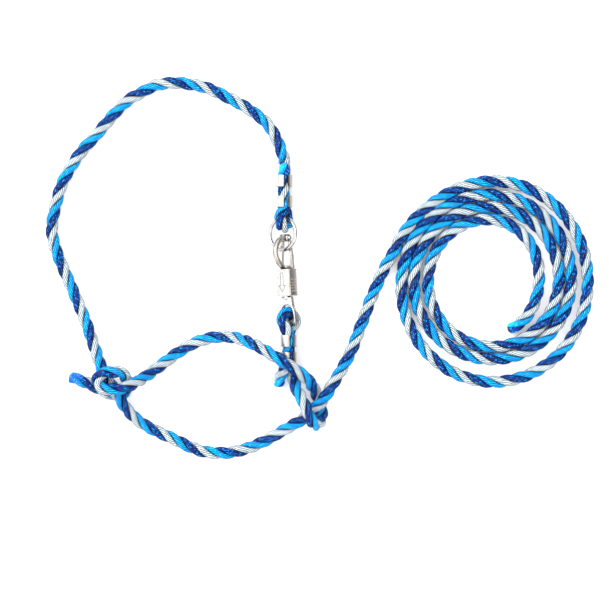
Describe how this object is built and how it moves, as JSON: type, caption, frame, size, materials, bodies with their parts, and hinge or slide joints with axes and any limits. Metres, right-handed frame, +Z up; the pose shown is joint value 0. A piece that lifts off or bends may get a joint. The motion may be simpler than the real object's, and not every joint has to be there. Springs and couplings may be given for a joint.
{
  "type": "rope halter",
  "caption": "Adjustable laid-rope livestock halter with crown loop, noseband, quick-release snap and coiled lead.",
  "frame": {"origin": "on the ground under the middle of the halter, leaving out its lead", "axes": "+Z up from the ground it lies on, +Y towards the crown, -Y towards the nose and chin, +X towards the coiled lead"},
  "size_m": [0.5532, 0.3818, 0.0408],
  "materials": {
    "rope": "three-strand laid multifilament rope with a silky sheen",
    "fused_end": "melted strands, glossy and lumpy",
    "clamp_metal": "bright plated, smooth",
    "nickel": "nickel-plated casting, polished",
    "spring_steel": "drawn wire"
  },
  "bodies": {
    "halter": {"crown_loop": "rope", "crown_rope": "rope", "chin_rope": "rope", "lead_rope": "rope", "lead_coil": "rope", "nose_wrap": "rope", "noseband": "rope", "nose_eye": "rope", "cheek_loop": "rope", "crown_tail_end": "fused_end", "nose_tail_end": "fused_end", "cheek_tail_end": "fused_end", "crown_clamp_upper": "clamp_metal", "crown_clamp_lower": "clamp_metal", "cheek_clamp_upper": "clamp_metal", "cheek_clamp_lower": "clamp_metal", "snap_body": "nickel", "gate_rivet": "nickel", "sleeve_spring": "spring_steel"},
    "ring": {"o_ring": "nickel"},
    "sleeve": {"release_sleeve": "nickel"},
    "gate": {"snap_gate": "nickel"}
  },
  "joints": [
    {"name": "sleeve_slide", "type": "slide", "parent": "halter", "child": "sleeve", "axis": [0.0523, -0.9986, 0], "range_m": [0, 0.009], "stiffness_N_per_m": 600, "springref_m": -0.004, "deforming": ["sleeve_spring"]},
    {"name": "gate_open", "type": "hinge", "parent": "halter", "child": "gate", "pos_m": [0.09821, 0.03001, 0.01337], "axis": [-0.765, -0.0401, -0.6428], "range_deg": [0, 33]},
    {"name": "ring_spin", "type": "hinge", "parent": "halter", "child": "ring", "pos_m": [0.0957, 0.034, 0.0158], "axis": [-0.6, 0.0472, 0.7986], "continuous": true}
  ],
  "couplings": [
    {"joint": "gate_open", "follows": "sleeve_slide", "rad_per_m": 62}
  ]
}
